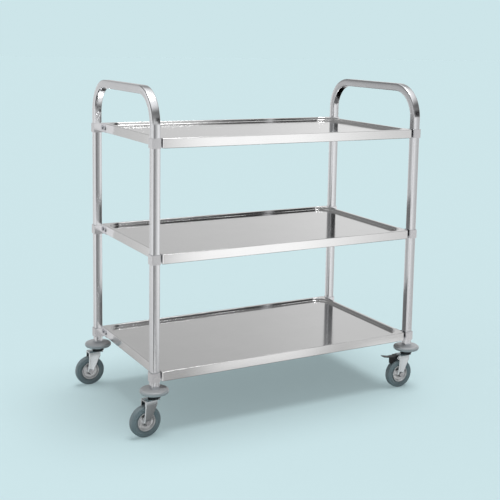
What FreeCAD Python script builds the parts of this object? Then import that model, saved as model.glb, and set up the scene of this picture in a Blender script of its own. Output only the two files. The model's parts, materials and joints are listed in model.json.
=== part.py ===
import FreeCAD, Part
import math
import os

V = FreeCAD.Vector

# Three-tier shelf trolley, millimetres. X runs along the long side, -Y is the long front,
# +Z is up, and the floor is at zero.

# Overall sizes, outside to outside of the square tubes
frame_length = 920.0
frame_depth = 504.0
overall_height = 998.0

# Square tube of the two end frames
tube_side = 25.0
tube_wall = 1.2
tube_chamfer = 1.8
hoop_bend = 95.0

# Pressed shelves, bottom to top
shelf_names = ("bottom", "middle", "top")
shelf_tops = (186.0, 528.0, 856.0)
sheet = 1.0
skirt_height = 28.0
hem_width = 9.0
rim_width = 10.0
rim_chamfer = 1.2
recess_depth = 9.0
recess_draft = 1.5
outer_corner = 12.0
recess_corner = 45.0
end_gap = 6.0

# Hat-section stiffener spot-welded below each floor
stiffener_width = 70.0
stiffener_flange = 14.0
stiffener_height = 16.0
stiffener_slope_share = 0.3
stiffener_end_clear = 30.0

# Saddle clip round each post, welded to it, with an ear bolted to the end skirt
clip_sheet = 1.5
ear_length = 24.0
bolt_neck = 6.0
bolt_hole_clear = 0.2
bolt_head_radius = 6.2
bolt_head_sides = 12
bolt_head_height = 2.6
bolt_nut_flats = 10.0
bolt_nut_height = 5.0

# Round bumper under each post
bumper_radius = 42.0
bumper_height = 13.0
bumper_edge = 4.0
bumper_sides = 32

# Stem, the expander that grips the tube, and the swivel
stem_radius = 6.0
stem_sides = 8
stem_hole_clear = 0.1
stem_collar_flats = 19.0
stem_collar_height = 4.7
expander_length = 46.0
expander_fit = 0.2
expander_chamfer = 2.5
stem_nut_flats = 17.0
stem_nut_height = 8.0
kingpin_radius = 5.0
kingpin_nut_flats = 14.0
kingpin_nut_height = 3.0
swivel_clear = 0.08
face_clear = 0.3
race_radius = 21.5
race_height = 8.0

# Fork
fork_sheet = 2.5
fork_inner_gap = 28.0
leg_front = 3.0
leg_width = 38.0
leg_waist_share = 0.42
leg_foot_radius = 10.0
leg_foot_turn = 22.0
end_steps = 6
crown_nose_share = 0.45
trail = 29.0

# Wheel, and the room above it below the crown
wheel_radius = 46.5
wheel_headroom = 15.5
tyre_width = 24.0
tyre_thickness = 18.0
wheel_sides = 48
web_half_width = 6.0
hub_radius = 11.0
hub_sides = 24
hub_side_clear = 0.4
axle_radius = 4.0
axle_clear = 0.08
axle_flats = 13.0
axle_head_height = 5.0
axle_nut_height = 6.5

# Brake of the right-hand pair: the pivot is set from the fork, the rest from the pivot
pivot_offset = 6.0
pivot_drop = 8.0
pivot_radius = 2.5
pivot_clear = 0.06
ear_radius = 5.0
pedal_width = 20.0
pedal_sheet = 2.0
pedal_length = 54.0
pedal_lift = 5.0
pedal_flat = 29.0
pedal_flange = 8.0
shoe_offset = 15.0
shoe_length = 14.0
shoe_gap = 4.0
shoe_width = 15.0

# Casters: name, corner signs along X and Y, angle of the trailing wheel, and whether it is braked
casters = (
    ("front_left", -1, -1, 5.0, False),
    ("rear_left", -1, 1, 0.0, False),
    ("front_right", 1, -1, 0.0, True),
    ("rear_right", 1, 1, 0.0, True),
)

# One overrun serves every cut; edges within this distance of a height lie at it
over = 2.0
touching = 0.01

# Worked out from the sizes above
half = 0.5
corners = ((-1, -1), (-1, 1), (1, -1), (1, 1))
post_x = (frame_length - tube_side) * half
post_y = (frame_depth - tube_side) * half
shelf_half_x = frame_length * half - tube_side - end_gap
shelf_half_y = frame_depth * half
bolt_y = shelf_half_y - tube_side - clip_sheet - ear_length * half
axle_height = wheel_radius
tyre_bore_radius = wheel_radius - tyre_thickness
crown_top = axle_height + wheel_radius + wheel_headroom + fork_sheet
race_bottom = crown_top + face_clear
race_top = race_bottom + race_height
bumper_bottom = race_top + stem_collar_height
post_foot = bumper_bottom + bumper_height
leg_inner = fork_inner_gap * half
leg_outer = leg_inner + fork_sheet
leg_back = leg_front - leg_width
pivot_back = pivot_offset - leg_back
pivot_height = crown_top - pivot_drop
pedal_reach = pivot_back + pedal_length
pedal_knee = pivot_back + pedal_flat
shoe_back = pivot_back + shoe_offset


def rounded_outline(half_x, half_y, radius, z):
    """Closed wire of a rectangle with round corners, centred on the Z axis."""
    arcs = []
    for sx, sy, start in ((1, 1, 0), (-1, 1, 90), (-1, -1, 180), (1, -1, 270)):
        centre = V(sx * (half_x - radius), sy * (half_y - radius), z)
        points = []
        for turn in (start, start + 45, start + 90):
            angle = math.radians(turn)
            points.append(centre + V(radius * math.cos(angle), radius * math.sin(angle), 0))
        arcs.append(points)
    edges = []
    for index, points in enumerate(arcs):
        edges.append(Part.Arc(*points).toShape())
        following = arcs[(index + 1) % len(arcs)][0]
        edges.append(Part.makeLine(points[-1], following))
    return Part.Wire(edges)


def rounded_block(half_x, half_y, radius, z_low, z_high):
    """Upright block with round vertical corners."""
    face = Part.Face(rounded_outline(half_x, half_y, radius, z_low))
    return face.extrude(V(0, 0, z_high - z_low))


def polygon(points):
    """Flat face from its corner points."""
    return Part.Face(Part.makePolygon(points + [points[0]]))


def edges_at(solid, z):
    """The edges of a solid that lie wholly at one height."""
    found = []
    for edge in solid.Edges:
        box = edge.BoundBox
        if abs(box.ZMin - z) < touching and abs(box.ZMax - z) < touching:
            found.append(edge)
    return found


def fused(shapes):
    """One clean solid from touching or overlapping shapes."""
    return shapes[0].multiFuse(shapes[1:]).removeSplitter()


def disc(radius, z_low, z_high):
    """Upright cylinder on the Z axis."""
    return Part.makeCylinder(radius, z_high - z_low, V(0, 0, z_low), V(0, 0, 1))


def cross_rod(radius, x, z, reach):
    """Cylinder along Y, as long on both sides of the XZ plane."""
    return Part.makeCylinder(radius, reach + reach, V(x, -reach, z), V(0, 1, 0))


def prism(sides, radius, z_low, z_high):
    """Upright prism with equal sides, its corners at the radius."""
    points = []
    for step in range(sides):
        angle = math.tau * step / sides
        points.append(V(radius * math.cos(angle), radius * math.sin(angle), z_low))
    return polygon(points).extrude(V(0, 0, z_high - z_low))


def hexagon(flats, z_low, z_high):
    """Upright hexagonal prism, given its width across flats."""
    return prism(6, flats * half / math.cos(math.radians(30)), z_low, z_high)


def tube_section():
    """Hollow square section in the XY plane, its outer corners eased."""
    wide = tube_side * half
    eased = wide - tube_chamfer
    outline = []
    for sx, sy in ((1, 1), (-1, 1), (-1, -1), (1, -1)):
        corner = [V(sx * wide, sy * eased, 0), V(sx * eased, sy * wide, 0)]
        outline.extend(corner if sx == sy else reversed(corner))
    reach = wide - tube_wall
    inner = [V(sx * reach, sy * reach, 0) for sx, sy in ((1, 1), (-1, 1), (-1, -1), (1, -1))]
    return polygon(outline).cut(polygon(inner)).Faces[0]


def hoop(side):
    """End frame: one square tube bent into an upside-down U."""
    x = side * post_x
    bar_z = overall_height - tube_side * half
    bend_z = bar_z - hoop_bend
    section = tube_section()
    pieces = []
    for end in (-1, 1):
        foot = section.copy()
        foot.translate(V(x, end * post_y, post_foot))
        pieces.append(foot.extrude(V(0, 0, bend_z - post_foot)))
        start = section.copy()
        start.translate(V(x, end * post_y, bend_z))
        pieces.append(start.revolve(V(x, end * (post_y - hoop_bend), bend_z), V(end, 0, 0), 90))
    span = post_y - hoop_bend
    bar = section.copy()
    bar.rotate(V(0, 0, 0), V(1, 0, 0), -90)
    bar.translate(V(x, -span, bar_z))
    pieces.append(bar.extrude(V(0, span + span, 0)))
    return fused(pieces)


def bolt_height(top):
    """Height of the clip bolts of the shelf whose rim is at top."""
    return top - skirt_height * half


def dish(half_x, half_y, radius, z_low, z_high):
    """Body of a recess whose walls lean in towards its floor."""
    wide = rounded_outline(half_x, half_y, radius, z_high)
    narrow = rounded_outline(half_x - recess_draft, half_y - recess_draft, radius - recess_draft, z_low)
    return Part.makeLoft([narrow, wide], True, True)


def shelf(top):
    """Pressed tray: flat raised rim, shallow recess, deep skirt with a turned-in hem."""
    base = top - skirt_height
    floor = top - recess_depth
    outer = rounded_block(shelf_half_x, shelf_half_y, outer_corner, base, top)
    outer = outer.makeChamfer(rim_chamfer, edges_at(outer, top))
    inner = rounded_block(shelf_half_x - sheet, shelf_half_y - sheet, outer_corner - sheet,
                          base + sheet, top - sheet)
    mouth_x = shelf_half_x - hem_width
    mouth_y = shelf_half_y - hem_width
    mouth = Part.makeBox(mouth_x + mouth_x, mouth_y + mouth_y, sheet + over, V(-mouth_x, -mouth_y, base - over))
    dish_x = shelf_half_x - rim_width
    dish_y = shelf_half_y - rim_width
    below = dish(dish_x + sheet, dish_y + sheet, recess_corner + sheet, floor - sheet, top)
    above = dish(dish_x, dish_y, recess_corner, floor, top)
    tray = fused([outer.cut(inner).cut(mouth), below]).cut(above)
    for side, end in corners:
        tray = tray.cut(bolt_bore(side, end, top))
    return tray


def bolt_bore(side, end, top):
    """Square hole for one clip bolt's neck, through the ear and the end skirt."""
    deep = sheet + clip_sheet + over + over
    wide = bolt_neck + bolt_hole_clear + bolt_hole_clear
    near = side * (shelf_half_x - sheet - over)
    start = V(min(near, near + side * deep), end * bolt_y - wide * half, bolt_height(top) - wide * half)
    return Part.makeBox(deep, wide, wide, start)


def stiffener(top):
    """Hat section along the middle of a floor, below it."""
    high = top - recess_depth - sheet
    low = high - stiffener_height
    reach = shelf_half_x - rim_width - stiffener_end_clear
    edge = stiffener_width * half
    crest = edge - stiffener_flange
    slope = stiffener_height * stiffener_slope_share
    skin = [V(-reach, -edge, high), V(-reach, -crest, high), V(-reach, slope - crest, low + sheet)]
    back = [V(-reach, slope - crest - sheet, low), V(-reach, -crest - sheet, high - sheet), V(-reach, -edge, high - sheet)]
    outline = skin + mirrored(skin) + mirrored(back) + back
    return polygon(outline).extrude(V(reach + reach, 0, 0))


def mirrored(points):
    """The points mirrored across the XZ plane, in the opposite order."""
    return [V(point.x, -point.y, point.z) for point in reversed(points)]


def at_corners(top, piece):
    """The four copies of a corner piece at one shelf, as separate solids."""
    solids = []
    for side, end in corners:
        copy = piece.copy()
        if side < 0:
            copy = copy.mirror(V(0, 0, 0), V(1, 0, 0))
        if end < 0:
            copy = copy.mirror(V(0, 0, 0), V(0, 1, 0))
        copy.translate(V(0, 0, top))
        solids.append(copy)
    return Part.makeCompound(solids)


def clip():
    """Saddle strap: short outer leg, web on the post's outside, inner leg and bolted ear."""
    t = clip_sheet
    inside = shelf_half_x
    face_in = frame_length * half - tube_side
    face_out = frame_length * half
    high_y = shelf_half_y
    low_y = shelf_half_y - tube_side
    tip_y = low_y - t - ear_length
    points = [
        V(face_in, high_y, 0), V(face_out, high_y, 0), V(face_out, low_y, 0), V(inside, low_y, 0),
        V(inside, tip_y, 0), V(inside + t, tip_y, 0), V(inside + t, low_y - t, 0),
        V(face_out + t, low_y - t, 0), V(face_out + t, high_y + t, 0), V(face_in, high_y + t, 0),
    ]
    strap = polygon(points).extrude(V(0, 0, -skirt_height))
    return strap.cut(bolt_bore(1, 1, 0))


def clip_bolt():
    """Square-necked bolt through ear and skirt, with its nut run on behind the skirt."""
    grip = clip_sheet + sheet
    neck = Part.makeBox(bolt_neck, bolt_neck, grip, V(-bolt_neck * half, -bolt_neck * half, -grip))
    bolt = fused([
        prism(bolt_head_sides, bolt_head_radius, 0, bolt_head_height),
        neck,
        hexagon(bolt_nut_flats, -grip - bolt_nut_height, -grip),
    ])
    bolt.rotate(V(0, 0, 0), V(0, 1, 0), 90)
    bolt.translate(V(shelf_half_x + clip_sheet, bolt_y, bolt_height(0)))
    return bolt


def bumper():
    """Fat ring with eased edges between a post's foot and its caster."""
    body = prism(bumper_sides, bumper_radius, bumper_bottom, post_foot)
    rims = edges_at(body, bumper_bottom) + edges_at(body, post_foot)
    body = body.makeChamfer(bumper_edge, rims)
    return body.cut(prism(stem_sides, stem_radius + stem_hole_clear, bumper_bottom - over, post_foot + over))


def stem():
    """Stem: kingpin and its nut below, hexagon collar under the bumper, shank and nut up the post."""
    nut_low = post_foot + expander_length
    pin_low = crown_top - fork_sheet - face_clear
    return fused([
        hexagon(kingpin_nut_flats, pin_low - kingpin_nut_height, pin_low),
        disc(kingpin_radius, pin_low, race_bottom),
        prism(stem_sides, kingpin_radius, race_bottom, race_top),
        hexagon(stem_collar_flats, race_top, bumper_bottom),
        prism(stem_sides, stem_radius, bumper_bottom, nut_low),
        hexagon(stem_nut_flats, nut_low, nut_low + stem_nut_height),
    ])


def expander():
    """Rubber sleeve that grips the inside of the post when the nut squeezes it."""
    wide = tube_side * half - tube_wall - expander_fit
    high = post_foot + expander_length
    body = Part.makeBox(wide + wide, wide + wide, expander_length, V(-wide, -wide, post_foot))
    body = body.makeChamfer(expander_chamfer, edges_at(body, high))
    return body.cut(prism(stem_sides, stem_radius + stem_hole_clear, post_foot - over, high + over))


def race():
    """Bearing housing between the fork's crown and the stem's collar."""
    bore = prism(stem_sides, kingpin_radius + stem_hole_clear, race_bottom - over, race_top + over)
    return disc(race_radius, race_bottom, race_top).cut(bore)


def leg(side):
    """Fork leg: broad under the crown, tapering to a round foot at the axle."""
    y = leg_inner if side > 0 else -leg_outer
    high = crown_top - fork_sheet
    waist = high - (high - axle_height) * leg_waist_share
    foot = V(-trail, y, axle_height)
    sole = round_end(foot, leg_foot_radius, 180, 360 + leg_foot_turn)
    outline = [V(leg_front, y, waist), V(leg_front, y, high), V(leg_back, y, high), V(leg_back, y, waist)]
    return polygon(outline + sole).extrude(V(0, fork_sheet, 0))


def round_end(centre, radius, first, last):
    """Points round the end of a strap in the XZ plane, between two angles in degrees."""
    points = []
    for step in range(end_steps + 1):
        angle = math.radians(first + (last - first) * step / end_steps)
        points.append(centre + V(radius * math.cos(angle), 0, radius * math.sin(angle)))
    return points


def fork(braked):
    """Pressed fork: crown, two tapering legs, bores for kingpin and axle."""
    low = crown_top - fork_sheet
    nose = leg_outer * crown_nose_share
    crown = polygon([
        V(leg_back, -leg_outer, low), V(leg_front, -leg_outer, low), V(leg_outer, -nose, low),
        V(leg_outer, nose, low), V(leg_front, leg_outer, low), V(leg_back, leg_outer, low),
    ])
    crown = crown.extrude(V(0, 0, fork_sheet))
    pieces = [crown, leg(-1), leg(1)]
    if braked:
        pieces = pieces + [pivot_ear(-1), pivot_ear(1)]
    body = fused(pieces)
    body = body.cut(disc(kingpin_radius + swivel_clear, low - over, crown_top + over))
    body = body.cut(cross_rod(axle_radius + axle_clear, -trail, axle_height, leg_outer + over))
    if braked:
        body = body.cut(cross_rod(pivot_radius + pivot_clear, -pivot_back, pivot_height, leg_outer + over))
    return body


def pivot_ear(side):
    """Ear on a leg's back edge that carries the pedal's pin."""
    y = leg_inner if side > 0 else -leg_outer
    low = pivot_height - ear_radius
    high = pivot_height + ear_radius
    root = leg_back + over
    tip = round_end(V(-pivot_back, y, pivot_height), ear_radius, 90, 270)
    return polygon([V(root, y, low), V(root, y, high)] + tip).extrude(V(0, fork_sheet, 0))


def on_axle(shape):
    """Lay a shape made round the Z axis on its side, round the axle."""
    shape.rotate(V(0, 0, 0), V(1, 0, 0), -90)
    shape.translate(V(-trail, 0, axle_height))
    return shape


def tyre():
    """Flat tyre, seated on the core; its many flats stand for the round."""
    wide = tyre_width * half
    bore = prism(wheel_sides, tyre_bore_radius, -wide - over, wide + over)
    return on_axle(prism(wheel_sides, wheel_radius, -wide, wide).cut(bore))


def wheel_core():
    """Core: a web inside the tyre and a hub as wide as the fork allows, bored for the axle."""
    wide = leg_inner - hub_side_clear
    web = prism(wheel_sides, tyre_bore_radius, -web_half_width, web_half_width)
    hub = prism(hub_sides, hub_radius, -wide, wide)
    bore = disc(axle_radius + axle_clear, -wide - over, wide + over)
    return on_axle(fused([web, hub]).cut(bore))


def axle_bolt():
    """Axle bolt with its head in front and its nut behind."""
    bolt = fused([
        hexagon(axle_flats, -leg_outer - axle_head_height, -leg_outer),
        disc(axle_radius, -leg_outer, leg_outer),
        hexagon(axle_flats, leg_outer, leg_outer + axle_nut_height),
    ])
    return on_axle(bolt)


def pedal():
    """Pressed brake pedal: a channel at its pivot, then a flat tread with a turned-up tip."""
    w = pedal_width * half
    t = pedal_sheet
    root = -pivot_back + ear_radius
    high = pivot_height + ear_radius
    low = high - t
    tread = [
        V(root, -w, low), V(-pedal_knee, -w, low), V(-pedal_reach, -w, low + pedal_lift),
        V(-pedal_reach, -w, high + pedal_lift), V(-pedal_knee, -w, high), V(root, -w, high),
    ]
    pieces = [polygon(tread).extrude(V(0, pedal_width, 0))]
    for y in (-w, w - t):
        cheek = [
            V(root, y, high), V(-pedal_knee, y, high), V(-pedal_knee, y, low), V(-shoe_back, y, low - pedal_flange * half),
            V(-pivot_back, y, low - pedal_flange), V(root, y, low - pedal_flange),
        ]
        pieces.append(polygon(cheek).extrude(V(0, t, 0)))
    body = fused(pieces)
    return body.cut(cross_rod(pivot_radius + pivot_clear, -pivot_back, pivot_height, w + over))


def brake_shoe():
    """Rubber shoe under the pedal that is pressed on the tyre."""
    w = shoe_width * half
    front = -shoe_back + shoe_length * half
    rear = -shoe_back - shoe_length * half
    high = pivot_height + ear_radius - pedal_sheet
    side = [V(rear, -w, shoe_bottom(rear)), V(front, -w, shoe_bottom(front)), V(front, -w, high), V(rear, -w, high)]
    return polygon(side).extrude(V(0, shoe_width, 0))


def shoe_bottom(x):
    """Height of the shoe's underside at x, a gap above the tyre."""
    reach = x + trail
    return axle_height + math.sqrt((wheel_radius + shoe_gap) ** 2 - reach ** 2)


def pivot_pin():
    """Pin through the fork's ears and the pedal, riveted flush."""
    return cross_rod(pivot_radius, -pivot_back, pivot_height, leg_outer)


def on_caster(shape, caster):
    """Swing a caster piece to its angle and carry it to its corner."""
    _, side, end, angle, _ = caster
    placed = shape.copy()
    placed.rotate(V(0, 0, 0), V(0, 0, 1), angle)
    placed.translate(V(side * post_x, end * post_y, 0))
    return placed


def under_posts(piece):
    """The four copies of a piece that stays square to the frame, one at each post."""
    solids = []
    for side, end in corners:
        copy = piece.copy()
        copy.translate(V(side * post_x, end * post_y, 0))
        solids.append(copy)
    return Part.makeCompound(solids)


def frame_nodes():
    """Everything that stays still: end frames, shelves, their fixings and what holds the casters."""
    nodes = {"left_end_frame": hoop(-1), "right_end_frame": hoop(1)}
    for name, top in zip(shelf_names, shelf_tops):
        nodes[name + "_shelf"] = shelf(top)
        nodes[name + "_shelf_stiffener"] = stiffener(top)
        nodes[name + "_saddle_clips"] = at_corners(top, clip())
        nodes[name + "_clip_bolts"] = at_corners(top, clip_bolt())
    nodes["post_bumpers"] = under_posts(bumper())
    nodes["caster_stems"] = under_posts(stem())
    nodes["stem_expanders"] = under_posts(expander())
    nodes["swivel_bearings"] = under_posts(race())
    return nodes


def caster_nodes(caster):
    """The moving pieces of one caster."""
    name = caster[0]
    braked = caster[4]
    pieces = {"_fork": fork(braked), "_axle_bolt": axle_bolt(), "_wheel": wheel_core(), "_tyre": tyre()}
    if braked:
        pieces["_brake_pedal"] = pedal()
        pieces["_brake_shoe"] = brake_shoe()
        pieces["_brake_pin"] = pivot_pin()
    return {name + suffix: on_caster(shape, caster) for suffix, shape in pieces.items()}


def footprint_centre(nodes):
    """Middle of the whole trolley's box on the floor, casters trailing as built."""
    box = Part.makeCompound(list(nodes.values())).optimalBoundingBox(False, False)
    return V((box.XMin + box.XMax) * half, (box.YMin + box.YMax) * half, 0)


def main():
    os.makedirs("parts", exist_ok=True)
    nodes = frame_nodes()
    for caster in casters:
        nodes.update(caster_nodes(caster))
    centre = footprint_centre(nodes)
    print("footprint centre", round(centre.x, 4), round(centre.y, 4))
    for name, shape in nodes.items():
        shape.translate(-centre)
        shape.exportStep("parts/" + name + ".step")
    print(len(nodes), "nodes")


main()
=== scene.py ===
import json
import math

import bmesh
import bpy
from mathutils import Matrix, Vector


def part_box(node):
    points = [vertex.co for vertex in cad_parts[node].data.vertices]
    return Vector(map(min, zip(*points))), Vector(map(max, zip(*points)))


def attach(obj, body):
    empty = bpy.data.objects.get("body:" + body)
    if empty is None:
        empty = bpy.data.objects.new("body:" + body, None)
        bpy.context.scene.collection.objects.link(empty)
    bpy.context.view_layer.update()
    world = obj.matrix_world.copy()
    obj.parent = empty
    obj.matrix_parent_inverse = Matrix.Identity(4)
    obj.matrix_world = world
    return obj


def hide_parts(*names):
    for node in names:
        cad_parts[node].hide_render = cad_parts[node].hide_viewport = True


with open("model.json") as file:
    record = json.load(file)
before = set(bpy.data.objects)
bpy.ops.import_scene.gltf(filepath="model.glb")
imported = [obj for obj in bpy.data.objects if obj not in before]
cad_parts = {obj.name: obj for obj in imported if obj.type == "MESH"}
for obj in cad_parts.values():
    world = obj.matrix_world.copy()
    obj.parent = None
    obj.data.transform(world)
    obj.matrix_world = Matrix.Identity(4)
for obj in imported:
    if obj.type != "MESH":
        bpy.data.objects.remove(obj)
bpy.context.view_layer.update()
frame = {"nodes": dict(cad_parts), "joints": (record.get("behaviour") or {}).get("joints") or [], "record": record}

# Sizes and places taken from the frame, in metres
joints = {joint["name"]: joint for joint in frame["joints"]}
caster_names = ("front_left", "rear_left", "front_right", "rear_right")
tube_low, tube_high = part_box("left_end_frame")
tube_half = (tube_high.x - tube_low.x) / 2
tyre_low, tyre_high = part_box("rear_left_tyre")
tyre_half = (tyre_high.y - tyre_low.y) / 2
axle_height = joints["rear_left_roll"]["pos_m"][2]
trail = joints["rear_left_swivel"]["pos_m"][0] - joints["rear_left_roll"]["pos_m"][0]

# Camera, worked out from the photograph's perspective, in metres and degrees
CAMERA_PLACE = Vector((-1.4686, -2.7506, 1.1441))
CAMERA_YAW = 30.38
CAMERA_PITCH = 7.79
CAMERA_ROLL = 1.26
FOCAL_PIXELS = 980.3
IMAGE_PIXELS = 500.0
CENTRE_PIXEL_X = 290.0
CENTRE_PIXEL_Y = 170.0
SENSOR_WIDTH = 36.0

# Background, and the level of the light: the key and the sky together light a level surface at 1.
# The sky is brighter on the left by its side share. Angles are in degrees
BACKDROP = (0.610, 0.783, 0.815)
SKY_LEVEL = 0.35
SKY_SIDE_SHARE = 0.8
KEY_SPREAD = 34.0
KEY_LEAN = 8.0
KEY_LEVEL = (1 - SKY_LEVEL) * math.tau / (1 + math.cos(math.radians(KEY_SPREAD / 2)))

# Floor: the share of its colour that the light makes, which sets how deep the shadow is, its size,
# and its drop below the tyres
SHADOW_SHARE = 0.65
FLOOR_SIZE = 80.0
FLOOR_DROP = 0.0005

# Pale studio that the metal shows, as (azimuth, level) stops, with azimuths in degrees from
# straight behind towards the right: high up, just above the horizon, and below it
HIGH_TONES = (
    (-180, 0.50), (-60, 0.30), (-38, 0.22), (-28, 0.27), (-20, 0.60), (12, 0.58), (22, 0.62),
    (28, 0.68), (33, 0.80), (60, 0.80), (130, 0.30), (180, 0.50),
)
LOW_TONES = (
    (-180, 0.28), (-60, 0.20), (-38, 0.20), (-28, 0.25), (-20, 0.60), (12, 0.58), (22, 0.62),
    (28, 0.68), (33, 0.80), (60, 0.80), (100, 0.50), (130, 0.06), (158.6, 0.02), (160, 0.60),
    (170, 0.60), (180, 0.28),
)
BELOW_TONES = (
    (-180, 0.85), (-60, 0.90), (-44, 0.60), (-38, 0.40), (-32, 0.46), (-28, 0.95), (-23.4, 0.95),
    (-22.6, 0.54), (-19, 0.46), (-17.5, 0.80), (-11, 0.80), (-4, 0.58), (10, 0.60), (60, 0.80),
    (138, 0.50), (143, 0.62), (146, 0.80), (149, 1.00), (155.3, 1.00), (156.9, 0.66), (158.5, 0.36),
    (166, 0.20), (173, 0.20), (178, 0.85),
)

# Heights, from 0 at the horizon to 1 straight above, where the studio's parts meet, and how its
# level falls away from the horizon
HORIZON_BLEND = 0.02
LOW_CORE = 0.23
LOW_EDGE = 0.36
ABOVE_GAIN = 1.07
ABOVE_FALL = 1.27
BELOW_GAIN = 1.58
BELOW_FALL = 2.4
CEILING_EDGE = 0.50
CEILING_CORE = 0.85
CEILING_LEVEL = 0.95

# Panels laid over the studio: azimuth and half width in degrees, heights where each begins and is
# full, and its level. A later one covers an earlier one. The low ones show on the bottom shelf and
# the forks, and the near one on the top shelf
LOW_PANELS = (
    (156.7, 2.2, -0.285, -0.300, 0.34),
    (141.0, 6.5, -0.278, -0.290, 0.42),
    (161.2, 1.6, -0.302, -0.310, 1.35),
    (139.0, 5.5, -0.304, -0.312, 1.25),
    (143.5, 9.5, -0.337, -0.345, 0.12),
)
NEAR_PANELS = ((165.0, 10.5, 0.150, 0.125, 0.62),)
PANEL_BLEND = 2.0

# Grain and mottling of the surfaces: depth in metres, the mottling's waves in a metre, and the
# way in which grain is drawn out
GRAIN_DEPTH = 0.0002
MOTTLE_SCALE = 14.0
EVEN = (1, 1, 1)
ALONG_POST = (1, 1, 0.02)
ALONG_SHELF = (0.005, 1, 1)
ALONG_FORK = (1, 1, 0.3)

# Look of each slot: colour, metal, roughness, strength, way and scale of its grain, and the shares
# by which its roughness and its tone vary
LOOKS = {
    "stainless_tube": ((0.82, 0.83, 0.85), 1.0, 0.16, 0.05, ALONG_POST, 900, 0.15, 0.06),
    "stainless_sheet": ((0.96, 0.96, 0.96), 1.0, 0.10, 0.008, ALONG_SHELF, 700, 0.20, 0.06),
    "stainless_channel": ((0.66, 0.66, 0.68), 1.0, 0.30, 0.10, ALONG_SHELF, 700, 0.10, 0.06),
    "clip_steel": ((0.82, 0.82, 0.84), 1.0, 0.16, 0.10, ALONG_POST, 900, 0.10, 0.06),
    "bolt_steel": ((0.66, 0.67, 0.69), 1.0, 0.25, 0.10, EVEN, 900, 0.10, 0.06),
    "plated_steel": ((0.70, 0.75, 0.77), 1.0, 0.14, 0.04, ALONG_FORK, 700, 0.20, 0.10),
    "bearing_steel": ((0.05, 0.055, 0.06), 0.6, 0.40, 0.10, EVEN, 700, 0.10, 0.06),
    "wheel_metal": ((0.84, 0.86, 0.87), 1.0, 0.32, 0.03, EVEN, 700, 0.20, 0.10),
    "tyre_rubber": ((0.20, 0.25, 0.27), 0.0, 0.35, 0.30, EVEN, 900, 0.15, 0.15),
    "bumper_rubber": ((0.42, 0.44, 0.455), 0.0, 0.30, 0.30, EVEN, 900, 0.15, 0.08),
    "pedal_steel": ((0.02, 0.023, 0.026), 0.0, 0.40, 0.10, EVEN, 700, 0.10, 0.06),
    "black_rubber": ((0.012, 0.012, 0.014), 0.0, 0.60, 0.40, EVEN, 900, 0.10, 0.06),
}

# Fineness of round forms, and the angle above which an edge stays sharp
ARC_STEPS = 5
CORNER_STEPS = 12
BEND_STEPS = 24
ROUND_STEPS = 96
SHARP_ANGLE = 40.0
MERGE = 1e-6

# Square tube: round corners and slightly crowned faces
TUBE_CORNER = 0.0034
TUBE_CROWN = 0.0003
TUBE_FACE_STEPS = 6
HOOP_BEND = 0.095

# Pressed shelf
SHEET = 0.001
SHELF_CORNER = 0.005
RECESS_CORNER = 0.045
RIM_WIDTH = 0.010
RIM_BEND = 0.0015
RECESS_DEPTH = 0.009
RECESS_DRAFT = 0.0001
RECESS_FILLET = 0.0010
SKIRT_BEND = 0.0014
HEM_WIDTH = 0.009

# Bumper, bearing and tyre, all turned
BUMPER_ROUND = 0.0058
BEARING_RADIUS = 0.0185
BEARING_ROUND = 0.0015
STEM_BORE = 0.0061
PIN_BORE = 0.0051
TYRE_BORE = 0.0285
TYRE_SEAT = 0.008
RIDGE_RADIUS = 0.0365
RIDGE_DEPTH = 0.0025
RIDGE_WIDTH = 0.0012
TYRE_SHOULDER = 0.0045
TREAD_CROWN = 0.0006
TREAD_FLAT = 0.001

# Wheel disc, outwards from its hub
AXLE_BORE = 0.0041
HUB_RADIUS = 0.011
HUB_REACH = 0.0136
HUB_DRAFT = 0.002
HUB_ROUND = 0.002
DISH_RADIUS = 0.0215
DISH_REACH = 0.0045
DISH_ROUND = 0.003
LIP_RADIUS = 0.0275
LIP_REACH = 0.0105
LIP_WIDTH = 0.002
LIP_ROUND = 0.0008
SEAT_STEP = 0.001

# Pressed fork
FORK_SHEET = 0.0025
FORK_BEND = 0.005
LEG_BACK = -0.035
LEG_FRONT = 0.003
LEG_WAIST_SHARE = 0.22
LEG_FOOT = 0.010
LEG_EDGE = 0.003
LEG_EDGE_MOST_SHARE = 0.4
LEG_EDGE_SHARES = (0, 0.08, 0.3, 0.6, 1)
LEG_STEPS = 7
CROWN_STEPS = 8

# Ears on a braked fork for the pedal's pin
EAR_RADIUS = 0.005
EAR_ROOT = 0.002

# Fine bevel on the CAD nodes that no smooth form stands for
FINE_BEVEL = 0.0004
BEVEL_STEPS = 2


def make_camera():
    """Camera at the photograph's place; the shift matches its off-centre principal point."""
    yaw, pitch, roll = (math.radians(a) for a in (CAMERA_YAW, CAMERA_PITCH, CAMERA_ROLL))
    ahead = Vector((math.sin(yaw) * math.cos(pitch), math.cos(yaw) * math.cos(pitch), -math.sin(pitch)))
    level = Vector((math.cos(yaw), -math.sin(yaw), 0))
    upright = level.cross(ahead)
    right = math.cos(roll) * level + math.sin(roll) * upright
    up = math.cos(roll) * upright - math.sin(roll) * level
    data = bpy.data.cameras.new("camera")
    data.sensor_width = SENSOR_WIDTH
    data.lens = FOCAL_PIXELS / IMAGE_PIXELS * SENSOR_WIDTH
    data.shift_x = (IMAGE_PIXELS / 2 - CENTRE_PIXEL_X) / IMAGE_PIXELS
    data.shift_y = (CENTRE_PIXEL_Y - IMAGE_PIXELS / 2) / IMAGE_PIXELS
    data.clip_end = FLOOR_SIZE * 2
    camera = bpy.data.objects.new("camera", data)
    camera.matrix_world = Matrix((
        (right.x, up.x, -ahead.x, CAMERA_PLACE.x),
        (right.y, up.y, -ahead.y, CAMERA_PLACE.y),
        (right.z, up.z, -ahead.z, CAMERA_PLACE.z),
        (0, 0, 0, 1),
    ))
    bpy.context.scene.collection.objects.link(camera)
    bpy.context.scene.camera = camera


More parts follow.
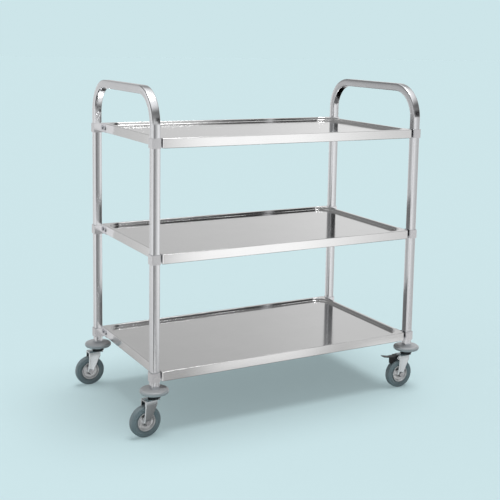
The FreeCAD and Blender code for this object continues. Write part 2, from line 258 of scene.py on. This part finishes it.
class Nodes:
    """Short way to write a node tree."""

    def __init__(self, tree):
        tree.nodes.clear()
        self.tree = tree

    def add(self, kind, **settings):
        """New node, with settings and inputs by name; an underscore stands for a space."""
        node = self.tree.nodes.new("ShaderNode" + kind)
        for name, value in settings.items():
            if hasattr(node, name):
                setattr(node, name, value)
                continue
            socket = node.inputs[name.replace("_", " ")]
            self.feed(socket, value)
        return node

    def feed(self, socket, value):
        """Link or set one input."""
        if isinstance(value, bpy.types.NodeSocket):
            self.tree.links.new(value, socket)
        elif isinstance(value, tuple) and len(value) == 3 and len(socket.default_value) == 4:
            socket.default_value = (*value, 1)
        else:
            socket.default_value = value

    def math(self, operation, first, second=0.0):
        """One arithmetic node."""
        node = self.tree.nodes.new("ShaderNodeMath")
        node.operation = operation
        self.feed(node.inputs[0], first)
        self.feed(node.inputs[1], second)
        return node.outputs[0]

    def dot(self, vector, axis):
        """How far a vector reaches along an axis."""
        node = self.tree.nodes.new("ShaderNodeVectorMath")
        node.operation = "DOT_PRODUCT"
        self.feed(node.inputs[0], vector)
        node.inputs[1].default_value = axis
        return node.outputs["Value"]

    def ramp(self, value, edge, core):
        """Smooth step from 0 at the edge to 1 at the core."""
        node = self.add("MapRange", interpolation_type="SMOOTHSTEP", Value=value)
        node.inputs["From Min"].default_value = edge
        node.inputs["From Max"].default_value = core
        return node.outputs[0]

    def limit(self, value, low, high):
        """Value kept between two levels."""
        return self.math("MINIMUM", self.math("MAXIMUM", value, low), high)

    def mix(self, factor, low, high):
        """Number between low and high."""
        node = self.tree.nodes.new("ShaderNodeMix")
        self.feed(node.inputs["Factor"], factor)
        self.feed(node.inputs["A"], low)
        self.feed(node.inputs["B"], high)
        return node.outputs["Result"]

    def tones(self, azimuth, stops):
        """Level by azimuth, from (degrees, level) stops."""
        turn = self.math("ADD", self.math("DIVIDE", azimuth, math.tau), 0.5)
        ramp = self.add("ValToRGB", Fac=turn)
        elements = ramp.color_ramp.elements
        while len(elements) < len(stops):
            elements.new(1.0)
        for element, (degrees, level) in zip(elements, stops):
            element.position = degrees / 360 + 0.5
            element.color = (level, level, level, 1)
        return ramp.outputs[0]

    def panels(self, tone, azimuth, height, panels):
        """Tone with panels laid over it, each with soft edges."""
        for centre, reach, edge, core, level in panels:
            aside = self.math("ABSOLUTE", self.math("SUBTRACT", azimuth, math.radians(centre)))
            outer, inner = math.radians(reach + PANEL_BLEND / 2), math.radians(reach - PANEL_BLEND / 2)
            cover = self.math("MULTIPLY", self.ramp(aside, outer, inner), self.ramp(height, edge, core))
            tone = self.mix(cover, tone, level)
        return tone

    def grey(self, value):
        """Neutral colour of one level."""
        node = self.add("CombineColor")
        for socket in node.inputs:
            self.feed(socket, value)
        return node.outputs[0]

    def shade(self, factor, low, high):
        """One shader or background between two."""
        node = self.tree.nodes.new("ShaderNodeMixShader")
        self.feed(node.inputs[0], factor)
        self.feed(node.inputs[1], low.outputs[0])
        self.feed(node.inputs[2], high.outputs[0])
        return node

    def blend(self, factor, low, high):
        """Colour between low and high."""
        node = self.tree.nodes.new("ShaderNodeMix")
        node.data_type = "RGBA"
        self.feed(node.inputs["Factor"], factor)
        colours = [s for s in node.inputs if s.type == "RGBA"]
        self.feed(colours[0], low)
        self.feed(colours[1], high)
        return [s for s in node.outputs if s.type == "RGBA"][0]


def make_world():
    """Soft sky light; the camera sees the pale backdrop, and metal sees a plain pale studio."""
    world = bpy.data.worlds.new("studio")
    world.use_nodes = True
    bpy.context.scene.world = world
    n = Nodes(world.node_tree)
    path = n.add("LightPath")
    way = n.add("TexCoord").outputs["Generated"]
    height = n.dot(way, (0, 0, 1))
    azimuth = n.math("ARCTAN2", n.dot(way, (1, 0, 0)), n.dot(way, (0, 1, 0)))
    fade = n.math("SUBTRACT", ABOVE_GAIN, n.math("MULTIPLY", height, ABOVE_FALL))
    low, high = n.tones(azimuth, LOW_TONES), n.tones(azimuth, HIGH_TONES)
    tone = n.mix(n.ramp(height, LOW_CORE, LOW_EDGE), low, high)
    above = n.math("MULTIPLY", tone, n.limit(fade, 0.0, ABOVE_GAIN))
    above = n.panels(above, azimuth, height, NEAR_PANELS)
    sink = n.math("ADD", BELOW_GAIN, n.math("MULTIPLY", height, BELOW_FALL))
    below = n.math("MULTIPLY", n.tones(azimuth, BELOW_TONES), n.limit(sink, 0.0, 1.0))
    below = n.panels(below, azimuth, height, LOW_PANELS)
    room = n.mix(n.ramp(height, -HORIZON_BLEND, HORIZON_BLEND), below, above)
    room = n.mix(n.ramp(height, CEILING_EDGE, CEILING_CORE), room, CEILING_LEVEL)
    shown = n.add("Background", Color=n.grey(room), Strength=1.0)
    seen = n.add("Background", Color=BACKDROP, Strength=1.0)
    side = n.math("SUBTRACT", 1.0, n.math("MULTIPLY", n.dot(way, (1, 0, 0)), SKY_SIDE_SHARE))
    light = n.add("Background", Color=(1.0, 1.0, 1.0), Strength=n.math("MULTIPLY", side, SKY_LEVEL))
    metal = n.shade(path.outputs["Is Glossy Ray"], light, shown)
    out = n.add("OutputWorld")
    n.feed(out.inputs["Surface"], n.shade(path.outputs["Is Camera Ray"], metal, seen).outputs[0])


def make_key():
    """One soft light from nearly straight above, a little from the right."""
    data = bpy.data.lights.new("key", "SUN")
    data.energy = KEY_LEVEL
    data.angle = math.radians(KEY_SPREAD)
    lamp = bpy.data.objects.new("key", data)
    lamp.rotation_euler.y = math.radians(KEY_LEAN)
    bpy.context.scene.collection.objects.link(lamp)


def make_floor():
    """Pale floor that meets the background without a line, keeps the shadow and isn't in the metal."""
    reach = FLOOR_SIZE / 2
    mesh = bpy.data.meshes.new("floor")
    corners = [(-reach, -reach, 0), (reach, -reach, 0), (reach, reach, 0), (-reach, reach, 0)]
    mesh.from_pydata(corners, [], [(0, 1, 2, 3)])
    floor = bpy.data.objects.new("floor", mesh)
    floor.location.z = -FLOOR_DROP
    floor.visible_glossy = False
    bpy.context.scene.collection.objects.link(floor)
    material = bpy.data.materials.new("floor")
    material.use_nodes = True
    n = Nodes(material.node_tree)
    path = n.add("LightPath")
    matt = n.add("BsdfDiffuse", Color=BACKDROP)
    plain = n.add("Emission", Color=BACKDROP, Strength=1.0)
    depth = n.math("SUBTRACT", 1.0, n.math("MULTIPLY", path.outputs["Is Camera Ray"], 1 - SHADOW_SHARE))
    out = n.add("OutputMaterial")
    n.feed(out.inputs["Surface"], n.shade(depth, plain, matt).outputs[0])
    mesh.materials.append(material)


def surface(name, colour, metal, rough, grain, stretch, scale, spread, mottle):
    """Metal, rubber or paint with fine grain in its bump, tone and roughness."""
    material = bpy.data.materials.new(name)
    material["slot"] = name
    material.use_nodes = True
    n = Nodes(material.node_tree)
    place = n.add("TexCoord").outputs["Object"]
    mapped = n.add("Mapping", Vector=place, Scale=stretch).outputs[0]
    fine = n.add("TexNoise", Vector=mapped, Scale=scale, Detail=4.0, Roughness=0.6).outputs[0]
    broad = n.add("TexNoise", Vector=place, Scale=MOTTLE_SCALE, Detail=3.0, Roughness=0.5).outputs[0]
    tone = n.math("ADD", n.math("MULTIPLY", fine, 0.5), n.math("MULTIPLY", broad, 0.5))
    low = tuple(c * (1 - mottle) for c in colour)
    high = tuple(min(1.0, c * (1 + mottle)) for c in colour)
    lustre = n.add("MapRange", Value=tone, To_Min=rough * (1 - spread), To_Max=rough * (1 + spread))
    bump = n.add("Bump", Height=fine, Strength=grain, Distance=GRAIN_DEPTH)
    skin = n.add("BsdfPrincipled", Base_Color=n.blend(tone, low, high), Metallic=metal)
    n.feed(skin.inputs["Roughness"], lustre.outputs[0])
    n.feed(skin.inputs["Normal"], bump.outputs[0])
    out = n.add("OutputMaterial")
    n.feed(out.inputs["Surface"], skin.outputs[0])
    return material


def eased(corners, closed=False):
    """Outline through (across, up, radius) corners, each rounded by an arc of its radius.

    The two ends of an open outline aren't rounded.
    """
    outline = []
    last = len(corners) - 1
    for index, (across, up, radius) in enumerate(corners):
        spot = Vector((across, up))
        if not radius or not (closed or 0 < index < last):
            outline.append(spot)
            continue
        back = (Vector(corners[index - 1][:2]) - spot).normalized()
        on = (Vector(corners[(index + 1) % len(corners)][:2]) - spot).normalized()
        half = back.angle(on) / 2
        centre = spot + (back + on).normalized() * (radius / math.sin(half))
        start = spot + back * (radius / math.tan(half)) - centre
        end = spot + on * (radius / math.tan(half)) - centre
        for step in range(ARC_STEPS + 1):
            outline.append(centre + start.lerp(end, step / ARC_STEPS).normalized() * radius)
    return outline


class Shape:
    """Mesh made of skins, each stretched over rings of equally many points."""

    def __init__(self):
        self.points = []
        self.faces = []

    def skin(self, rings, closed=False):
        """Join neighbouring rings; closed joins the last to the first, otherwise both ends are capped."""
        count = len(rings[0])
        first = len(self.points)
        for ring in rings:
            self.points.extend(ring)
        rows = len(rings) if closed else len(rings) - 1
        for row in range(rows):
            low = first + row * count
            high = first + (row + 1) % len(rings) * count
            for step in range(count):
                after = (step + 1) % count
                self.faces.append((low + step, low + after, high + after, high + step))
        if not closed:
            last = first + (len(rings) - 1) * count
            self.faces.append(tuple(range(first, first + count)))
            self.faces.append(tuple(range(last, last + count)))
        return self

    def turn(self, outline, place):
        """Turn a closed (radius, along) outline round a place's Z axis."""
        rings = []
        for step in range(ROUND_STEPS):
            angle = math.tau * step / ROUND_STEPS
            way = Vector((math.cos(angle), math.sin(angle), 0))
            rings.append([place @ (way * radius + Vector((0, 0, along))) for radius, along in outline])
        return self.skin(rings, closed=True)

    def make(self, name, material, body, *nodes):
        """Object with smooth faces that rides on a body and stands for CAD nodes."""
        mesh = bpy.data.meshes.new(name)
        mesh.from_pydata(self.points, [], self.faces)
        work = bmesh.new()
        work.from_mesh(mesh)
        bmesh.ops.remove_doubles(work, verts=work.verts, dist=MERGE)
        bmesh.ops.recalc_face_normals(work, faces=work.faces)
        work.to_mesh(mesh)
        work.free()
        mesh.shade_smooth()
        mesh.set_sharp_from_angle(angle=math.radians(SHARP_ANGLE))
        mesh.materials.append(material)
        piece = bpy.data.objects.new(name, mesh)
        bpy.context.scene.collection.objects.link(piece)
        even = piece.modifiers.new("even", "WEIGHTED_NORMAL")
        even.keep_sharp = True
        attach(piece, body)
        if nodes:
            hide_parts(*nodes)


def tube_ring():
    """Square section with round corners and slightly crowned faces, as (across, out) points."""
    half = tube_half
    flat = half - TUBE_CORNER
    ring = []
    for quarter in range(4):
        turned = Matrix.Rotation(quarter * math.pi / 2, 2)
        for step in range(TUBE_FACE_STEPS + 1):
            share = step / TUBE_FACE_STEPS * 2 - 1
            ring.append(turned @ Vector((half - TUBE_CROWN * share * share, flat * share)))
        centre = Vector((half - TUBE_CROWN - TUBE_CORNER, flat))
        for step in range(1, ARC_STEPS):
            angle = math.pi / 2 * step / ARC_STEPS
            reach = Vector((TUBE_CORNER * math.cos(angle), (TUBE_CORNER - TUBE_CROWN) * math.sin(angle)))
            ring.append(turned @ (centre + reach))
    return ring


def make_hoop(node, material):
    """End frame: a square tube up one post, over the bar and down the other."""
    low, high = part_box(node)
    x = (low.x + high.x) / 2
    span = high.y - tube_half - HOOP_BEND
    bend_z = high.z - tube_half - HOOP_BEND
    stations = [(-span, low.z, math.pi)]
    for end, start in ((-1, math.pi), (1, math.pi / 2)):
        for step in range(BEND_STEPS + 1):
            stations.append((end * span, bend_z, start - math.pi / 2 * step / BEND_STEPS))
    stations.append((span, low.z, 0))
    rings = []
    for y, z, angle in stations:
        out = Vector((0, math.cos(angle), math.sin(angle)))
        centre = Vector((x, y, z)) + out * HOOP_BEND
        rings.append([centre + Vector((across, 0, 0)) + out * reach for across, reach in tube_ring()])
    Shape().skin(rings).make(node + "_tube", material, "trolley_frame", node)


def rounded_ring(centre, half_x, half_y, radius, z):
    """Level ring of points round a rectangle with round corners."""
    ring = []
    for sx, sy, start in ((1, 1, 0), (-1, 1, 90), (-1, -1, 180), (1, -1, 270)):
        for step in range(CORNER_STEPS + 1):
            angle = math.radians(start + 90 * step / CORNER_STEPS)
            x = centre.x + sx * (half_x - radius) + radius * math.cos(angle)
            y = centre.y + sy * (half_y - radius) + radius * math.sin(angle)
            ring.append(Vector((x, y, z)))
    return ring


def shelf_corner(inset, rise):
    """Radius of a shelf ring's corners: small at the rim's edge and the hem, large at the recess."""
    if inset < RIM_BEND * 2 or rise < -RECESS_DEPTH * 2:
        return max(SHELF_CORNER - inset, SHEET)
    return RECESS_CORNER + RIM_WIDTH - inset


def make_shelf(node, material):
    """Pressed tray: recess, flat rim, rounded bend, skirt and turned-in hem, one sheet thick."""
    low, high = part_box(node)
    deep = high.z - low.z
    foot = RIM_WIDTH + RECESS_DRAFT
    inside = foot + RECESS_FILLET * 2
    profile = eased([
        (inside, -RECESS_DEPTH, 0),
        (foot, -RECESS_DEPTH, RECESS_FILLET),
        (RIM_WIDTH, 0, RIM_BEND),
        (0, 0, RIM_BEND),
        (0, -deep, SKIRT_BEND),
        (HEM_WIDTH, -deep, 0),
        (HEM_WIDTH, SHEET - deep, 0),
        (SHEET, SHEET - deep, SHEET / 2),
        (SHEET, -SHEET, RIM_BEND - SHEET),
        (RIM_WIDTH - SHEET, -SHEET, SHEET),
        (foot - SHEET, -RECESS_DEPTH - SHEET, RECESS_FILLET),
        (inside, -RECESS_DEPTH - SHEET, 0),
    ])
    centre = (low + high) / 2
    half = (high - low) / 2
    rings = []
    for inset, rise in profile:
        corner = shelf_corner(inset, rise)
        rings.append(rounded_ring(centre, half.x - inset, half.y - inset, corner, high.z + rise))
    Shape().skin(rings).make(node + "_tray", material, "trolley_frame", node)


def upright(name, z):
    """Place on a caster's swivel axis, at one height."""
    pivot = joints[name + "_swivel"]["pos_m"]
    return Matrix.Translation((pivot[0], pivot[1], z))


def make_bumpers(material):
    """Fat round bumpers under the posts."""
    low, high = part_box("post_bumpers")
    radius = high.x - joints["front_right_swivel"]["pos_m"][0]
    tall = high.z - low.z
    outline = eased([
        (STEM_BORE, 0, 0), (radius, 0, BUMPER_ROUND), (radius, tall, BUMPER_ROUND), (STEM_BORE, tall, 0),
    ])
    shape = Shape()
    for name in caster_names:
        shape.turn(outline, upright(name, low.z))
    shape.make("round_bumpers", material, "trolley_frame", "post_bumpers")


def make_bearings(material):
    """Round swivel housings with a groove between their two cups."""
    low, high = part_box("swivel_bearings")
    tall = high.z - low.z
    groove = BEARING_RADIUS - BEARING_ROUND * 2
    outline = eased([
        (PIN_BORE, 0, 0),
        (BEARING_RADIUS, 0, BEARING_ROUND / 3),
        (BEARING_RADIUS, tall / 2 - BEARING_ROUND / 2, BEARING_ROUND),
        (groove, tall / 2 - BEARING_ROUND / 2, 0),
        (groove, tall / 2 + BEARING_ROUND / 2, 0),
        (BEARING_RADIUS - BEARING_ROUND, tall / 2 + BEARING_ROUND / 2, BEARING_ROUND / 3),
        (BEARING_RADIUS - BEARING_ROUND, tall, BEARING_ROUND),
        (PIN_BORE, tall, 0),
    ])
    shape = Shape()
    for name in caster_names:
        shape.turn(outline, upright(name, low.z))
    shape.make("swivel_housings", material, "trolley_frame", "swivel_bearings")


def caster_place(name):
    """Place of a caster: on the floor below its swivel, with X from the wheel to the swivel."""
    pivot = Vector(joints[name + "_swivel"]["pos_m"])
    ahead = pivot - Vector(joints[name + "_roll"]["pos_m"])
    turn = math.atan2(ahead.y, ahead.x)
    return Matrix.Translation((pivot.x, pivot.y, 0)) @ Matrix.Rotation(turn, 4, "Z")


def wheel_place(name):
    """Place of a wheel: on its axle, with Z along it towards the front."""
    shift = Matrix.Translation((-trail, 0, axle_height))
    return caster_place(name) @ shift @ Matrix.Rotation(math.pi / 2, 4, "X")


def mirrored(points):
    """Half an outline of (radius, along, ...) corners, followed by its mirror image."""
    return points + [(p[0], -p[1], *p[2:]) for p in reversed(points)]


def make_tyre(name, material):
    """Tyre with a moulded ridge on its walls, round shoulders and a slightly crowned tread."""
    wide = tyre_half
    outline = eased(mirrored([
        (TYRE_BORE, TYRE_SEAT, 0),
        (TYRE_BORE + RIDGE_DEPTH, wide - RIDGE_DEPTH, RIDGE_DEPTH / 2),
        (RIDGE_RADIUS - RIDGE_DEPTH * 2, wide - RIDGE_DEPTH, RIDGE_DEPTH / 2),
        (RIDGE_RADIUS - RIDGE_WIDTH / 2, wide, RIDGE_WIDTH / 3),
        (RIDGE_RADIUS + RIDGE_WIDTH / 2, wide, RIDGE_WIDTH / 3),
        (RIDGE_RADIUS + RIDGE_DEPTH, wide - RIDGE_DEPTH / 2, RIDGE_WIDTH / 3),
        (axle_height - TREAD_CROWN, wide - RIDGE_DEPTH / 2, TYRE_SHOULDER),
        (axle_height, TREAD_FLAT, 0),
    ]), closed=True)
    shape = Shape().turn(outline, wheel_place(name))
    shape.make(name + "_round_tyre", material, name + "_wheel_set", name + "_tyre")


def make_wheel(name, material):
    """Pressed metal disc: hub, dish and a raised lip inside the tyre, on both sides."""
    outline = eased(mirrored([
        (AXLE_BORE, HUB_REACH, 0),
        (HUB_RADIUS, HUB_REACH, HUB_ROUND),
        (HUB_RADIUS + HUB_DRAFT, DISH_REACH, HUB_ROUND),
        (DISH_RADIUS, DISH_REACH, DISH_ROUND),
        (LIP_RADIUS - LIP_WIDTH, LIP_REACH, LIP_ROUND),
        (LIP_RADIUS, LIP_REACH, LIP_ROUND),
        (TYRE_BORE, TYRE_SEAT - SEAT_STEP, 0),
    ]), closed=True)
    shape = Shape().turn(outline, wheel_place(name))
    shape.make(name + "_disc", material, name + "_wheel_set", name + "_wheel")


def leg_edges(z, waist):
    """Back and front edge of a fork leg at one height."""
    if z <= axle_height:
        reach = math.sqrt(max(LEG_FOOT ** 2 - (axle_height - z) ** 2, 0))
        return -trail - reach, reach - trail
    share = min(1.0, (z - axle_height) / (waist - axle_height))
    back = -trail - LEG_FOOT + (LEG_BACK + trail + LEG_FOOT) * share
    front = LEG_FOOT - trail + (LEG_FRONT - LEG_FOOT + trail) * share
    return back, front


def fork_stations(high, outer):
    """Stations over the fork, one half mirrored: (y, z), way inwards, back and front edge."""
    waist = high - FORK_SHEET - (high - FORK_SHEET - axle_height) * LEG_WAIST_SHARE
    stations = []
    for step in range(1, LEG_STEPS + 1):
        z = axle_height - LEG_FOOT * math.cos(math.pi / 2 * step / LEG_STEPS)
        stations.append((-outer, z, (1, 0), *leg_edges(z, waist)))
    for z in (waist, high - FORK_BEND):
        stations.append((-outer, z, (1, 0), *leg_edges(z, waist)))
    for step in range(1, ARC_STEPS + 1):
        angle = math.pi / 2 * step / ARC_STEPS
        y = FORK_BEND - outer - FORK_BEND * math.cos(angle)
        z = high - FORK_BEND + FORK_BEND * math.sin(angle)
        stations.append((y, z, (math.cos(angle), -math.sin(angle)), LEG_BACK, crown_front(y, outer)))
    flat = outer - FORK_BEND
    for step in range(1, CROWN_STEPS):
        y = flat * 2 * step / CROWN_STEPS - flat
        stations.append((y, high, (0, -1), LEG_BACK, crown_front(y, outer)))
    other = [(-y, z, (-way[0], way[1]), back, front) for y, z, way, back, front in reversed(stations)]
    return stations + [s for s in other if s[0] > flat - MERGE]


def crown_front(y, outer):
    """Front edge of the crown, a round nose."""
    return LEG_FRONT + (outer - LEG_FRONT) * math.sqrt(max(0.0, 1 - (y / outer) ** 2))


def make_fork(name, material):
    """Pressed fork: crown and two tapering legs of one sheet, its long edges rounded over.

    The rear-left fork gives the sizes of all four, since it stands square and has no ears.
    """
    low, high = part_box("rear_left_fork")
    outer = (high.y - low.y) / 2
    place = caster_place(name)
    shape = Shape()
    rings = []
    for y, z, way, back, front in fork_stations(high.z, outer):
        inward = Vector((0, *way))
        edge = min(LEG_EDGE, (front - back) * LEG_EDGE_MOST_SHARE)
        skin = []
        for share in LEG_EDGE_SHARES:
            drop = edge - math.sqrt(edge ** 2 - (edge * (1 - share)) ** 2)
            skin.append((back + edge * share, drop))
        skin = skin + [(back + front - x, drop) for x, drop in reversed(skin)]
        base = Vector((0, y, z))
        face = [base + Vector((x, 0, 0)) + inward * drop for x, drop in skin]
        back_side = [p + inward * FORK_SHEET for p in reversed(face)]
        rings.append([place @ p for p in face + back_side])
    shape.skin(rings)
    if name + "_brake_press" in joints:
        for side in (-1, 1):
            walls = (side * (outer - FORK_SHEET), side * outer)
            shape.skin([[place @ p for p in ear_outline(name, y)] for y in walls])
    shape.make(name + "_pressed_fork", material, name + "_caster", name + "_fork")


def ear_outline(name, y):
    """Outline of a pin ear: rounded at its tip, with its root sunk in the leg's back edge."""
    spot = caster_place(name).inverted() @ Vector(joints[name + "_brake_press"]["pos_m"])
    root = LEG_BACK + EAR_ROOT
    outline = [Vector((root, y, spot.z + EAR_RADIUS))]
    for step in range(CORNER_STEPS + 1):
        angle = math.pi / 2 + math.pi * step / CORNER_STEPS
        x = spot.x + EAR_RADIUS * math.cos(angle)
        z = spot.z + EAR_RADIUS * math.sin(angle)
        outline.append(Vector((x, y, z)))
    return outline + [Vector((root, y, spot.z - EAR_RADIUS))]


def dress_frame(materials):
    """Give every node of the CAD frame its slot's material."""
    slots = {part["node"]: part["material_slot"] for part in frame["record"]["subparts"]}
    for node, piece in frame["nodes"].items():
        piece.data.materials.clear()
        piece.data.materials.append(materials[slots[node]])
        bevel = piece.modifiers.new("bevel", "BEVEL")
        bevel.width = FINE_BEVEL
        bevel.segments = BEVEL_STEPS
        bevel.limit_method = "ANGLE"


def make_pieces(materials):
    """The smooth forms that stand for CAD nodes."""
    for node in ("left_end_frame", "right_end_frame"):
        make_hoop(node, materials["stainless_tube"])
    for node in ("bottom_shelf", "middle_shelf", "top_shelf"):
        make_shelf(node, materials["stainless_sheet"])
    make_bumpers(materials["bumper_rubber"])
    make_bearings(materials["bearing_steel"])
    for name in caster_names:
        make_tyre(name, materials["tyre_rubber"])
        make_wheel(name, materials["wheel_metal"])
        make_fork(name, materials["plated_steel"])


def main():
    """Build the whole scene."""
    bpy.context.scene.view_settings.view_transform = "Standard"
    make_camera()
    make_world()
    make_key()
    make_floor()
    materials = {name: surface(name, *look) for name, look in LOOKS.items()}
    dress_frame(materials)
    make_pieces(materials)


main()
